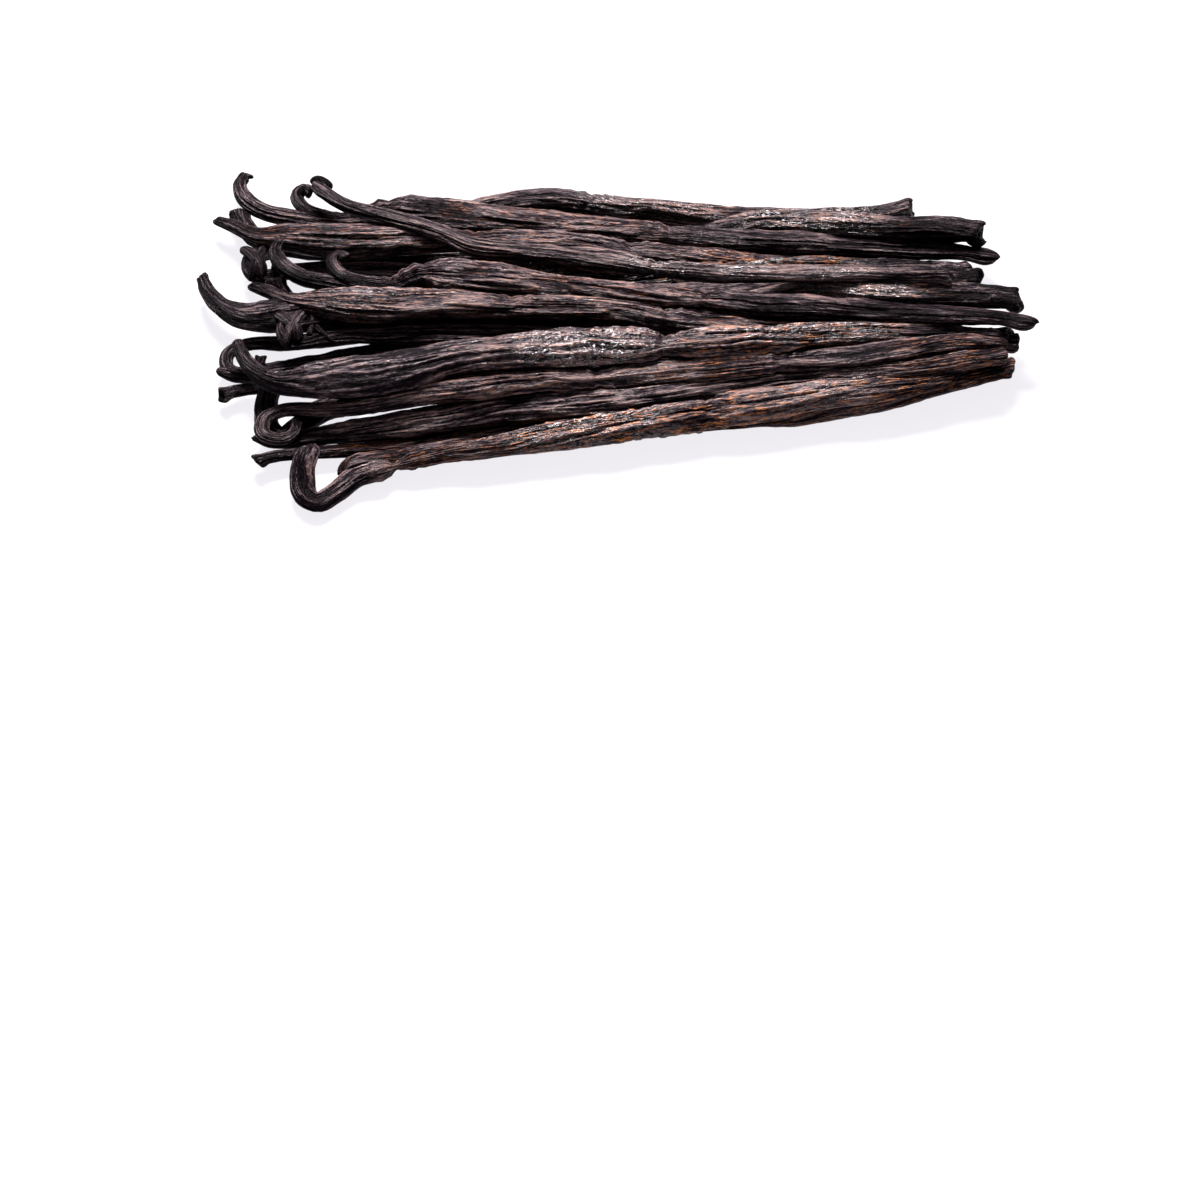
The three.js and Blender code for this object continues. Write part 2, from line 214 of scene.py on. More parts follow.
# Each pod's points run from its stem end to its blossom end: [x, y, height, width].
# sink says how much lower its twin in the back row lies, [at the stem, in the body].
# ends gives the shape of the stem end and of the blossom end.
PODS = {
    "crossing": {
        "ends": ("round", "cut"),
        "route": [
            [-66, 39, 9.5, 2.2], [-64, 36.5, 10, 2.7], [-59, 32, 10.5, 2.9], [-49, 27.5, 11.5, 3.6],
            [-38, 22.5, 12.5, 3.9], [-30.5, 18, 13, 4.4], [-16.5, 16.5, 12.5, 4.4],
            [-1.5, 14, 12.5, 4.8], [8.5, 12, 12.5, 4.1], [22.5, 10.3, 13, 4.4],
            [40, 9.8, 13.5, 3.8], [57.5, 9.8, 14, 3.5], [68, 9.6, 14, 3.9], [72.5, 9.5, 14, 4.7],
        ],
    },
    "hindmost": {
        "ends": ("round", "cut"),
        "route": [
            [-60, 31, 2.5, 2.2], [-47, 33, 3, 3.4], [-36, 34.5, 3.5, 3.9], [-27.5, 35.9, 5.3, 4.4],
            [-14.5, 37.8, 6, 4.8], [1, 35.7, 5.5, 4.8], [9.5, 35.7, 5, 4.4], [18, 34.6, 4.5, 4.8],
            [31, 34, 4, 4.8], [44.5, 34, 4, 4.4], [57.5, 35.5, 4, 3.6], [64.5, 37, 4, 4.4],
        ],
    },
    "lowBack": {
        "ends": ("round", "cut"),
        "route": [
            [-56, 27.5, 2.5, 2.6], [-44, 31, 2.8, 4.4], [-15, 36, 2.6, 5.2], [20, 32.5, 2.2, 4.6],
            [50, 30.5, 2.6, 4.6], [70, 30.5, 3, 3.8],
        ],
    },
    "hooked": {
        "ends": ("cut", "round"),
        "sink": [4, 5],
        "route": [
            [-58.4, 17, 10.5, 2.4], [-60, 18, 10.5, 2.4], [-61.5, 16.5, 10, 2.7],
            [-60, 13, 10, 2.9], [-55, 10.5, 10, 3.2], [-48.5, 9.5, 10.5, 3.4],
            [-42.5, 11.5, 11.5, 4.8], [-36, 10.5, 12, 7.5], [-27.5, 9.5, 12, 7.3],
            [-14.5, 7.5, 12, 6.1], [1, 5.5, 12, 5.8], [16, 4, 12, 5.1], [21, 3.5, 12, 4.6],
            [31, 2.5, 12, 5.3], [51, 1.5, 11.5, 5.3], [70.5, 0.5, 11, 4.6], [84, 0.2, 10, 3.2],
            [88.2, -0.6, 9.7, 3.7], [91.2, -0.9, 9.6, 2.4],
        ],
    },
    "darkHook": {
        "ends": ("cut", "round"),
        "sink": [5, 4],
        "route": [
            [-73, 23, 9, 2.2], [-74, 20.5, 8.5, 2.9], [-72.5, 16.5, 8.5, 3.4], [-68, 13, 8.5, 3.6],
            [-60, 11, 8.5, 3.6], [-49, 10, 8, 4.4], [-29.5, 7.5, 7.5, 5.3], [-3.5, 4.5, 7, 5.8],
            [29, 2, 6.5, 5.8], [57.5, 0.5, 6.5, 5.3], [74.5, 0, 6.5, 4.4],
        ],
    },
    "plump": {
        "ends": ("round", "cut"),
        "sink": [2.5, 2.5],
        "route": [
            [-79.5, 13, 6, 2.2], [-75.5, 10.5, 7, 2.9], [-70.5, 6.5, 8.5, 3.9], [-63, 4.5, 10, 6.3],
            [-55.5, 3.5, 10.5, 7.5], [-47, 3, 11, 7.5], [-36, 3, 11.5, 6.5], [-25, 2, 12, 5.1],
            [1, 0.5, 12, 5.1], [9.5, -1, 11.5, 5.3], [31, -1.5, 9.2, 5.4], [51, -2, 6.5, 5],
            [70.5, -1.5, 6, 4.6], [85.5, -2.5, 7, 4.1],
        ],
    },
    "thick": {
        "ends": ("round", "cut"),
        "sink": [3, 3],
        "route": [
            [-12, 8, 2.4, 2.9], [9.5, 9, 3, 4.8], [28, 10, 5.5, 5.6], [40, 9.5, 9, 5.8],
            [53, 7.5, 11, 5.8], [68, 6, 11.5, 5.3], [81, 6, 11, 5.3], [87.5, 5.5, 10.5, 4.8],
        ],
    },
    "underPlump": {
        "ends": ("cut", "cut"),
        "sink": [4, 1],
        "route": [
            [-74.2, 14.2, 7, 3.7], [-73.2, 12, 6, 3.9], [-70.5, 9.3, 4, 3.9], [-64, 7.5, 3.2, 4.2],
            [-51, 6, 3.2, 4.8], [-25, 4, 3.5, 5.8], [14, 1, 3.5, 5.8], [53, -1, 4, 5.3],
            [74.5, -2, 5, 4.4], [87, -3.5, 6, 3.9],
        ],
    },
    "claw": {
        "ends": ("round", "round"),
        "sink": [3, 3],
        "route": [
            [-67.5, 4, 8, 1.9], [-71, 1.5, 8, 2.4], [-72, -1, 7.5, 2.9], [-70.5, -4, 7, 2.9],
            [-67.5, -4, 7, 2.9], [-62, -2.5, 7, 3.4], [-47, -2.5, 7.5, 4.4], [-25, -2.5, 7.5, 5.3],
            [5, -3, 7, 5.8], [40, -3.5, 6.5, 5.3], [68, -3.5, 6, 4.4],
        ],
    },
    "glossy": {
        "ends": ("cut", "round"),
        "sink": [2.5, 3.5],
        "route": [
            [-82, -4, 7, 2.2], [-81, -7.5, 7, 2.9], [-78.5, -12, 7.5, 3.6], [-73, -16.5, 8.5, 5.2],
            [-64, -17, 9.5, 7.8], [-55.5, -16.5, 10, 9.2], [-47, -15, 10.5, 9.2],
            [-36, -12, 10.5, 7.8], [-25, -10, 10.5, 8], [-10, -8.5, 10.5, 9.5], [3, -8, 10.5, 8.7],
            [11.5, -8, 10.5, 5.6], [20.5, -7, 10.5, 7], [33.5, -6.5, 10.5, 6.5],
            [48.5, -4.5, 10, 5.8], [68, -3.5, 9, 4.4], [84, -3.5, 8, 2.9],
        ],
    },
    "lowHook": {
        "ends": ("cut", "round"),
        "sink": [1, 4],
        "route": [
            [-68.8, -24.8, 5, 2], [-69.6, -27.6, 4.5, 2.2], [-72.6, -29.2, 4.3, 2.6],
            [-76.2, -27.8, 4.3, 2.9], [-76.2, -24, 4.5, 2.9], [-72, -21.6, 5, 3],
            [-62, -22, 6, 3.5], [-51, -21, 7, 4.1], [-40.5, -19, 8, 5.1], [-31.5, -18, 8.5, 6.5],
            [-18.5, -16, 8.5, 5.6], [-5.5, -15.5, 8.5, 4.8], [11.5, -13.5, 8.5, 5.3],
            [27, -12.5, 9, 5.3], [36, -11.5, 9, 4.6], [51, -10, 9, 5.1], [64, -7.5, 9, 5.1],
            [74.5, -6, 9, 4.8], [84.5, -6, 8.5, 3.2],
        ],
    },
    "darkTip": {
        "ends": ("round", "cut"),
        "sink": [0.5, 3],
        "route": [
            [-78.5, -27, 2.5, 1.7], [-74, -28, 2.2, 3.2], [-64, -26.5, 2.2, 4.4],
            [-51, -25, 3, 5.8], [-38, -23.3, 4, 6.8], [-25, -21.4, 5, 6.7], [1, -19.5, 6, 6.5],
            [18, -17, 6.5, 5.8], [35.5, -14, 6.5, 5.8], [51, -13, 7, 5.3], [64, -11.5, 7.5, 5.1],
            [74.5, -10, 8, 4.8], [84, -8.5, 8, 3.9],
        ],
    },
    "flared": {
        "ends": ("cut", "round"),
        "sink": [0, 0.5],
        "route": [
            [-77.5, -34.5, 3, 3.2], [-74.5, -33, 2.8, 2.7], [-66.5, -31.5, 2.4, 2.9],
            [-53.5, -30, 2, 3.2], [-40.5, -28, 1.8, 3.4], [-25, -25, 2, 3.9], [-3.5, -23, 2.2, 4.4],
            [22.5, -19.5, 2.4, 4.4], [48.5, -16, 2.5, 4.4], [61.5, -14.5, 2.5, 3.4],
        ],
    },
    "looped": {
        "ends": ("round", "round"),
        "sink": [1, 1.5],
        "route": [
            [-65.6, -31.6, 5.5, 4], [-67.2, -35.4, 4.8, 4.6], [-67.8, -39.4, 3.2, 4.8],
            [-67, -43.2, 2.2, 4.7], [-64.4, -45, 1.9, 4.3], [-61.2, -42.7, 1.9, 4.4],
            [-56.2, -38.2, 2.2, 4.9], [-51, -36.5, 2.8, 5], [-47.5, -35.5, 3, 2.9],
            [-44.5, -34.6, 3.3, 3.9], [-38, -33, 3.8, 4.1], [-27.5, -31.5, 4.4, 4.6],
            [-14.5, -28.5, 4.5, 6.3], [1, -25.5, 4.5, 7], [18, -22, 4.5, 7.3], [31, -20, 5, 7.5],
            [44.5, -17.5, 5.5, 6.8], [57.5, -16, 6, 6.1], [67, -14.5, 6, 4.6], [72.5, -13, 6, 3.9],
        ],
    },
    "lowTail": {
        "ends": ("round", "cut"),
        "route": [
            [10, -24.6, 0.9, 0.8], [29, -22, 1.4, 2.4], [38.5, -21, 1.8, 3.9],
            [46.5, -19, 1.9, 4.4], [57.5, -16.5, 2.2, 4.8], [72.5, -12, 3.2, 4.8],
            [86, -9, 4.5, 4.1],
        ],
    },
    "lobe": {
        "ends": ("round", "round"),
        "route": [
            [-59.5, -36.5, 2, 4.2], [-55.5, -35, 2, 5.2], [-47, -32.5, 1.8, 4.4],
            [-29.5, -28.5, 1.8, 4.4], [-3.5, -25.5, 1.8, 4.4], [18, -22.5, 1.6, 3.4],
            [31, -20.5, 1.4, 1.9],
        ],
    },
}

# Where the skin of a pod is oily or warm brown: (from x, to x, amount) along its route
SPAN_FADE = 6.0  # mm to both sides of each end, over which a span fades
OILY = {
    "crossing": [(2, 34, 0.7), (42, 54, 0.7)],
    "hindmost": [(-8, 20, 1.0), (30, 56, 0.9)],
    "thick": [(36, 64, 1.0)],
    "glossy": [(-20, 12, 1.0), (18, 62, 0.55)],
    "looped": [(-22, 12, 0.6), (36, 50, 0.4)],
    "lowHook": [(-6, 12, 0.4)],
    "plump": [(-62, -30, 0.12)],
}
WARM = {
    "looped": [(-46, -26, 0.5), (-26, 72, 1.0)],
    "lobe": [(-58, 31, 0.35)],
    "lowTail": [(18, 86, 0.7)],
    "glossy": [(14, 60, 0.7), (-30, 8, 0.2)],
    "lowHook": [(-40, -10, 0.3), (6, 30, 0.6), (60, 84, 0.4)],
    "darkTip": [(60, 84, 0.7)],
    "plump": [(-70, 0, 0.3), (20, 60, 0.5)],
    "flared": [(-60, -30, 0.4)],
    "thick": [(36, 70, 0.35)],
    "hindmost": [(0, 30, 0.3)],
    "hooked": [(-30, 20, 0.25)],
}

# Where a pod is darker than the rest: (from x, to x, how much) along its route
DARK = {
    "glossy": [(-84, -34, 0.15)],
    "lowHook": [(-78, -44, 0.06)],
    "claw": [(-75, -60, 0.1)],
    "underPlump": [(-78, -60, 0.2)],
    "hooked": [(-64, -46, 0.02), (24, 92, 0.12)],
    "thick": [(62, 88, 0.2)],
    "looped": [(-70, -50, 0.04), (-46, -24, 0.04)],
    "flared": [(-78, -40, 0.06)],
    "crossing": [(-66, -20, 0.04)],
}

# Painted shade where a pod of the back row lies under others: it is darker still, in the same way
BURIED_PAINTED_SHADE = {
    "glossy": [(-20, 90, 0.35)],
    "claw": [(-40, 90, 0.35)],
    "underPlump": [(-40, 90, 0.35)],
    "darkHook": [(-20, 90, 0.2)],
}

# Where a pod is pinched and buckled: (x, depth in mm, length in mm)
CREASES = {
    "glossy": [(11.3, 0.7, 1.8), (33, 0.3, 1.5)],
    "plump": [(11, 0.55, 1.8), (-22, 0.3, 1.5)],
    "hooked": [(-48, 0.35, 1.5), (-41, 0.45, 1.3), (20, 0.45, 1.6)],
    "lowHook": [(-3.5, 0.6, 1.5), (36, 0.45, 1.4)],
    "looped": [(-47, 0.5, 1.6), (6, 0.3, 1.5), (20, 0.35, 1.5)],
    "crossing": [(8.5, 0.4, 1.5)],
    "hindmost": [(-6, 0.35, 1.4)],
}

# The small buckles on both sides of a pinch, in mm
BUCKLE_WAVE = 2.6
BUCKLE_REACH = 5.0
BUCKLE_HEIGHT = 0.22

# Small torn strands, nubs and curled tips: (pod that they belong to, its rows, their route)
SCRAPS = {
    "splinterA": ("claw", "both", [
        [-67.5, 2.9, 9, 1.2], [-64.2, -1.7, 8.5, 1.0], [-61, -4.5, 7.5, 0.7],
    ]),
    "splinterB": ("claw", "both", [
        [-69, -0.6, 9, 1.3], [-65.5, 0, 9, 0.9], [-62.5, 0.7, 8.6, 0.5],
    ]),
    "splinterC": ("claw", "both", [
        [-66.5, 4.5, 8.5, 1.5], [-65.8, 1, 8.8, 1.3], [-66.5, -3, 8.2, 0.9],
    ]),
    "crumpleA": ("claw", "both", [
        [-73.5, 3.4, 8, 2.2], [-70.9, 0.6, 8.6, 3.2], [-69.4, -2.2, 8.6, 2.8], [-68.8, -5, 7.6, 2],
    ]),
    "crumpleB": ("claw", "both", [
        [-67, 4, 8.6, 2], [-69, 1, 8.8, 2.8], [-70.4, -2.4, 8.6, 2.6], [-71.4, -5.4, 7.4, 1.8],
    ]),
    "turnedTip": ("crossing", "front", [
        [-66.2, 39.6, 9.2, 2.2], [-64.7, 40.2, 8.8, 2.5], [-63.3, 39.2, 8.3, 2.9],
        [-63, 38, 7.8, 2.5],
    ]),
    "barb": ("darkHook", "back", [
        [-73, 23, 9, 2.2], [-71.8, 22.8, 9.1, 0.9], [-71.1, 22.5, 9.2, 0.4],
    ]),
    "rimLobe": ("thick", "both", [
        [84.5, 5, 9.2, 3], [87, 4.6, 9, 3.4], [88.3, 4.5, 9, 2.6],
    ]),
    "tipNub": ("looped", "front", [
        [71.6, -12.8, 6.2, 1.7], [73.8, -12.3, 6.4, 2], [75, -12, 6.3, 1.8],
    ]),
    "sideNub": ("plump", "both", [
        [-61.8, 6.2, 10.6, 1.6], [-60.6, 7.3, 11.2, 1.2], [-60, 7.9, 11.5, 0.8],
    ]),
}

# The pieces: each is a few pods of one row
PIECES = {
    "pods_front_top": ("front", ["crossing", "hooked", "thick"]),
    "pods_front_plump": ("front", ["plump", "darkHook", "underPlump"]),
    "pods_front_glossy": ("front", ["glossy", "claw"]),
    "pods_front_low": ("front", ["lowHook", "darkTip"]),
    "pods_front_edge": ("front", ["looped", "flared", "lobe", "lowTail"]),
    "pods_back_edge": ("front", ["hindmost", "lowBack"]),
    "pods_back_top": ("back", ["hooked", "thick", "plump", "darkHook"]),
    "pods_back_middle": ("back", ["underPlump", "claw", "glossy"]),
    "pods_back_low": ("back", ["lowHook", "darkTip", "flared", "looped"]),
}

# The plainer pods inside the bundle, side by side over a dark mound
INNER_PODS = 11
INNER_POINTS = 7
INNER_REACH = (-42.0, 75.0)  # x of the left and right ends
INNER_SHORTER = (12, 10)  # by how much at most a pod is shorter at its left and right end
INNER_FRONT = (-24.0, -9.0)  # y of the foremost, at its left and right end
INNER_BACK = (31.0, 28.0)
INNER_JITTER = 0.6
INNER_WIDTH = (4.4, 6.0)
INNER_THINNER = 0.35  # at the ends, as a share of the width
INNER_HEIGHT = 4.5
MOUND_CENTRE = (14.0, 3.0)
MOUND_HALF = (50.0, 21.0, 7.4)
MOUND_TIP = 0.02  # of the half turn over its length, in radians
MOUND_STEPS = 60
MOUND_ROUND_POINTS = 64
MOUND_ROUGHNESS = 0.12
MOUND_NOISE = (30, 14)  # length in mm, cells round it
MOUND_SHADE = 0.3


def seeded(*words):
    """A random generator that depends only on the words."""
    return np.random.default_rng(zlib.crc32(" ".join(words).encode()))


def smooth(t):
    """An S-shaped rise from 0 to 1."""
    return t * t * (3 - 2 * t)


def smooth_step(low, high, x):
    """0 below low, 1 above high, and a smooth rise between them."""
    return smooth(np.clip((x - low) / (high - low), 0, 1))


def noise(rng, along, turn, length, cells):
    """Smooth noise from 0 to 1 on a pod's skin. turn goes from 0 to 1 once round the pod."""
    lengthways = (along - along.min()) / length
    crossways = turn * cells
    row = np.floor(lengthways).astype(int)
    column = np.floor(crossways).astype(int)
    lattice = rng.random((row.max() + 2, cells))
    past_row = smooth(lengthways - row)
    past_column = smooth(crossways - column)
    left = column % cells
    right = (column + 1) % cells
    near = lattice[row, left] * (1 - past_column) + lattice[row, right] * past_column
    far = lattice[row + 1, left] * (1 - past_column) + lattice[row + 1, right] * past_column
    return near * (1 - past_row) + far * past_row


def wander(rng, along, turn, length, cells, reach):
    """Noise around zero, which goes half the reach to each side."""
    return (noise(rng, along, turn, length, cells) - 0.5) * reach


def back_route(pod):
    """The route of a pod's twin in the back row."""
    route = []
    count = len(pod["route"])
    for i, (x, y, height, width) in enumerate(pod["route"]):
        share = min(1.0, i / (count - 1) / SINK_SPREADS)
        wanted = pod["sink"][0] + (pod["sink"][1] - pod["sink"][0]) * share
        lowest = min(height, width * FLATNESS / 2)
        sunk = min(wanted, height - lowest)
        back = y + BACK_ROW[1] + BACK_PER_SUNK * sunk
        route.append([x + BACK_ROW[0], back, height - sunk, width])
    return route


def spline_segment(p0, p1, p2, p3, t):
    """Points of a centripetal Catmull-Rom curve between p1 and p2."""
    dt0 = math.sqrt(np.linalg.norm(p1 - p0))
    dt1 = math.sqrt(np.linalg.norm(p2 - p1))
    dt2 = math.sqrt(np.linalg.norm(p3 - p2))
    slope1 = ((p1 - p0) / dt0 - (p2 - p0) / (dt0 + dt1) + (p2 - p1) / dt1) * dt1
    slope2 = ((p2 - p1) / dt1 - (p3 - p1) / (dt1 + dt2) + (p3 - p2) / dt2) * dt1
    t = t[:, None]
    square = 3 * (p2 - p1) - 2 * slope1 - slope2
    cube = 2 * (p1 - p2) + slope1 + slope2
    return p1 + slope1 * t + square * t**2 + cube * t**3


def trace(route):
    """Fine points and widths along a route."""
    table = np.array(route, float)
    knots = table[:, :3]
    knots = np.vstack([2 * knots[0] - knots[1], knots, 2 * knots[-1] - knots[-2]])
    t = np.arange(SEGMENT_SAMPLES) / SEGMENT_SAMPLES
    points = []
    widths = []
    for i in range(len(table) - 1):
        points.append(spline_segment(*knots[i : i + 4], t))
        widths.append(table[i, 3] + (table[i + 1, 3] - table[i, 3]) * smooth(t))
    points.append(table[-1:, :3])
    widths.append(table[-1:, 3])
    return np.vstack(points), np.concatenate(widths)


def end_rings(style, width):
    """Rings that close an end: (distance in from the end, share of the full section)."""
    if style == "cut":
        return [(inwards * width, scale) for inwards, scale in CUT_DIMPLE + CUT_RIM]
    reach = width / 2
    quarter = math.pi / 2
    return [(reach * (1 - math.cos(t * quarter)), math.sin(t * quarter)) for t in ROUND_TURNS]


def end_shift(rng, inwards, angle, width):
    """How far the skin near an end is pushed outwards along the pod, so that the rim is uneven."""
    near = 1 - smooth_step(0, END_REACH * width, inwards)
    lean = END_LEAN * width * np.cos(angle - rng.uniform(0, 2 * math.pi))
    lobes = sum(
        END_LOBE * width / k * np.cos(k * angle - rng.uniform(0, 2 * math.pi)) for k in END_LOBES
    )
    return near * (lean + lobes)


def ring_places(length, widths, ends, step):
    """Distances along a pod at which it has rings, with the scale of each ring."""
    stem = end_rings(ends[0], widths[0])
    blossom = end_rings(ends[1], widths[-1])
    start = stem[-1][0]
    stop = length - blossom[-1][0]
    count = max(2, int((stop - start) / step))
    middle = np.linspace(start, stop, count + 1)[1:-1]
    places = [d for d, _ in stem] + list(middle) + [length - d for d, _ in reversed(blossom)]
    scales = [s for _, s in stem] + [1.0] * len(middle) + [s for _, s in reversed(blossom)]
    return np.array(places), np.array(scales)


def crested(rng, along, turn, length, cells, sharpness):
    """Noise that is 1 along thin crests, which run along the pod and fork, and low between them."""
    return (1 - np.abs(2 * noise(rng, along, turn, length, cells) - 1)) ** sharpness


def skin_relief(rng, along, turn, size, girth):
    """How far folds and wrinkles stand off the smooth pod, in mm, and how light they are, 0 to 1,
    with painted highlights where they stand out and painted shade in the grooves.
    """
    cells = max(FEWEST_ROLLS, int(girth / ROLL_WIDTH))
    sway = wander(rng, along, turn, *SWAY)
    ripple = wander(rng, along, turn, *RIPPLE)
    swayed = turn + sway + ripple
    slid = along + wander(rng, along, turn, *SLIDE)
    folds = noise(rng, along, swayed, FOLD_LENGTH, FOLDS_ROUND)
    rolls = crested(rng, slid, swayed, ROLL_LENGTH, cells, ROLL_SHARPNESS)
    wrinkles = crested(rng, slid, swayed, WRINKLE_LENGTH, cells * 3 // 2, WRINKLE_SHARPNESS)
    grooves = crested(rng, along, swayed, GROOVE_LENGTH, cells // 3, GROOVE_SHARPNESS)
    dents = noise(rng, along, turn, DENT_LENGTH, max(FEWEST_DENTS, int(girth / DENT_WIDTH)))
    parts = [
        (FOLD_DEPTH, folds),
        (ROLL_DEPTH, rolls),
        (WRINKLE_DEPTH, wrinkles),
        (-GROOVE_DEPTH, grooves),
        (DENT_DEPTH, dents),
    ]
    height = sum(depth * (part - RELIEF_LEVEL) for depth, part in parts)
    # Painted light: the colour is lighter where rolls, wrinkles, folds and dents stand out, as
    # highlights, and darker in the grooves, as shade
    tone_and_painted_light = (
        TONE
        + ROLL_PAINTED_HIGHLIGHT * rolls
        + WRINKLE_PAINTED_HIGHLIGHT * wrinkles
        - GROOVE_PAINTED_SHADE * grooves
        + FOLD_PAINTED_HIGHLIGHT * folds
        + DENT_PAINTED_HIGHLIGHT * dents
    )
    tone_and_painted_light += rng.uniform(-TONE_SPREAD, TONE_SPREAD)
    tone_and_painted_light -= STEM_DARKER * (1 - smooth_step(0, STEM_LENGTH, along))
    tone_and_painted_light -= TIP_DARKER * (1 - smooth_step(0, TIP_LENGTH, along.max() - along))
    return height * size, np.clip(tone_and_painted_light, 0, 1)


def creases(rng, places, x, turn):
    """Pinches at the given places, with small buckles across the pod on both sides of them."""
    height = np.zeros_like(x)
    for place, depth, length in places:
        away = x - place + wander(rng, x, turn, *CREASE_SLIDE)
        height -= depth * np.exp(-((away / length) ** 2))
        fading = np.exp(-((away / BUCKLE_REACH) ** 2))
        height += BUCKLE_HEIGHT * fading * np.sin(2 * math.pi * away / BUCKLE_WAVE)
    return height


def amount_along(spans, x):
    """How much of a finish, or of a darkening or painted shade, a pod has at each x, from its list
    of spans.
    """
    total = np.zeros_like(x)
    for low, high, amount in spans:
        begun = smooth_step(low - SPAN_FADE, low + SPAN_FADE, x)
        ended = smooth_step(high - SPAN_FADE, high + SPAN_FADE, x)
        total = np.maximum(total, amount * (begun * (1 - ended)))
    return total


def darkness_and_painted_shade(name, row, x):
    """How much darker than the rest a pod is at each x, with painted shade where a pod of the back
    row lies under others.
    """
    dark = amount_along(DARK.get(name, []), x)
    if row == "back":
        # Painted shade where a pod of the back row lies under other pods
        dark += amount_along(BURIED_PAINTED_SHADE.get(name, []), x)
    return dark


def directions(points, run, places):
    """The middle of each ring, and the directions along the pod, across it and over it."""
    centre = np.stack([np.interp(places, run, points[:, k]) for k in range(3)], axis=1)
    fine = np.gradient(points, run, axis=0)
    direction = np.stack([np.interp(places, run, fine[:, k]) for k in range(3)], axis=1)
    direction /= np.linalg.norm(direction, axis=1)[:, None]
    across = np.cross(direction, [0, 0, 1])
    across /= np.linalg.norm(across, axis=1)[:, None]
    over = np.cross(across, direction)
    return centre, direction, across, over


def pod_mesh(name, row, route, ends, step, round_points):
    """One pod: its points, ring by ring, and what the skin material needs to know at each."""
    rng = seeded(name, row)
    points, widths = trace(route)
    run = np.concatenate([[0], np.cumsum(np.linalg.norm(np.diff(points, axis=0), axis=1))])
    places, scales = ring_places(run[-1], widths, ends, step)
    centre, direction, across, over = directions(points, run, places)
    original_x = centre[:, 0] - (BACK_ROW[0] if row == "back" else 0)
    width = np.interp(places, run, widths)
    even = np.arange(round_points) / round_points
    turn = even - TOP_DENSITY / (2 * math.pi) * np.sin(2 * math.pi * (even - TOP_TURN))
    along, turned = np.meshgrid(places, turn, indexing="ij")
    angle = 2 * math.pi * turned
    size = np.clip(width / NOMINAL_WIDTH, *RELIEF_SIZES)[:, None]
    height, tone_and_painted_light = skin_relief(rng, along, turned, size, GIRTH_PER_WIDTH * width.mean())
    # Darker spans, and painted shade under other pods in the back row
    tone_and_painted_light = np.clip(tone_and_painted_light - darkness_and_painted_shade(name, row, original_x)[:, None], 0, 1)
    height += creases(rng, CREASES.get(name, []), original_x[:, None] + 0 * turned, turned)
    height *= smooth_step(0, 1, scales)[:, None]
    thick = width[:, None] * FLATNESS / 2 * scales[:, None]
    half = width[:, None] / 2 * scales[:, None]
    side = np.cos(angle) * (half + height)
    rise = np.sin(angle) * (thick + height)
    skin = centre[:, None] + across[:, None] * side[..., None] + over[:, None] * rise[..., None]
    out = end_shift(rng, run[-1] - along, angle, widths[-1])
    out -= end_shift(rng, along, angle, widths[0])
    skin += direction[:, None] * out[..., None]
    skin[..., 2] = np.clip(skin[..., 2], LOWEST, HIGHEST)
    own = rng.uniform(0, GRAIN_SPREAD, 3)
    radius = NOMINAL_WIDTH / 2
    grain = np.stack([along, radius * np.cos(angle), radius * np.sin(angle)], axis=-1) + own
    return {
        "skin": skin,
        "tone_and_painted_light": tone_and_painted_light,
        "warm": amount_along(WARM.get(name, []), original_x)[:, None] + 0 * turned,
        "oil": amount_along(OILY.get(name, []), original_x)[:, None] + 0 * turned,
        "grain": grain,
        "reach": places / run[-1],
    }


def grid_faces(rings, round_points, first):
    """Corner numbers of the faces of one pod whose points start at first, with a fan at each end."""
    ring, point = np.meshgrid(np.arange(rings - 1), np.arange(round_points), indexing="ij")
    after = (point + 1) % round_points
    a = first + ring * round_points + point
    b = first + ring * round_points + after
    quads = np.stack([a, a + round_points, b + round_points, b], axis=-1).reshape(-1, 4)
    k = np.arange(round_points)
    after = (k + 1) % round_points
    stem_tip = first + rings * round_points
    blossom_tip = stem_tip + 1
    last = first + (rings - 1) * round_points
    stem_fan = np.stack([np.full_like(k, stem_tip), first + k, first + after], axis=-1)
    blossom_fan = np.stack([np.full_like(k, blossom_tip), last + after, last + k], axis=-1)
    return quads, np.vstack([stem_fan, blossom_fan])


def bake_places(pod, strip, strips):
    """Where the corners of a pod's faces lie on the bake picture, which has a strip for each pod."""
    rings, round_points = pod["tone_and_painted_light"].shape
    u = BAKE_EDGE + (1 - 2 * BAKE_EDGE) * pod["reach"]
    v = (strip + np.linspace(BAKE_GAP, 1 - BAKE_GAP, round_points + 1)) / strips
    ring, point = np.meshgrid(np.arange(rings - 1), np.arange(round_points), indexing="ij")
    corners = [(ring, point), (ring + 1, point), (ring + 1, point + 1), (ring, point + 1)]
    quads = np.stack([np.stack([u[r], v[k]], axis=-1) for r, k in corners], axis=2)
    middle = (v[:-1] + v[1:]) / 2
    fans = []
    for end, order in ((u[0], (middle, v[:-1], v[1:])), (u[-1], (middle, v[1:], v[:-1]))):
        corners = [np.stack([np.full_like(height, end), height], axis=-1) for height in order]
        fans.append(np.stack(corners, axis=1))
    return quads.reshape(-1, 2), np.vstack(fans).reshape(-1, 2)


def faces_mesh(name, places, quads, fans):
    """A smooth Blender mesh with these points, four-sided faces and then triangles."""
    mesh = bpy.data.meshes.new(name)
    mesh.vertices.add(len(places))
    mesh.vertices.foreach_set("co", places.ravel())
    mesh.loops.add(quads.size + fans.size)
    mesh.loops.foreach_set("vertex_index", np.concatenate([quads.ravel(), fans.ravel()]))
    mesh.polygons.add(len(quads) + len(fans))
    starts = np.concatenate([np.arange(len(quads)) * 4, quads.size + np.arange(len(fans)) * 3])
    mesh.polygons.foreach_set("loop_start", starts)
    mesh.update(calc_edges=True)
    mesh.validate()
    mesh.shade_smooth()
    return mesh


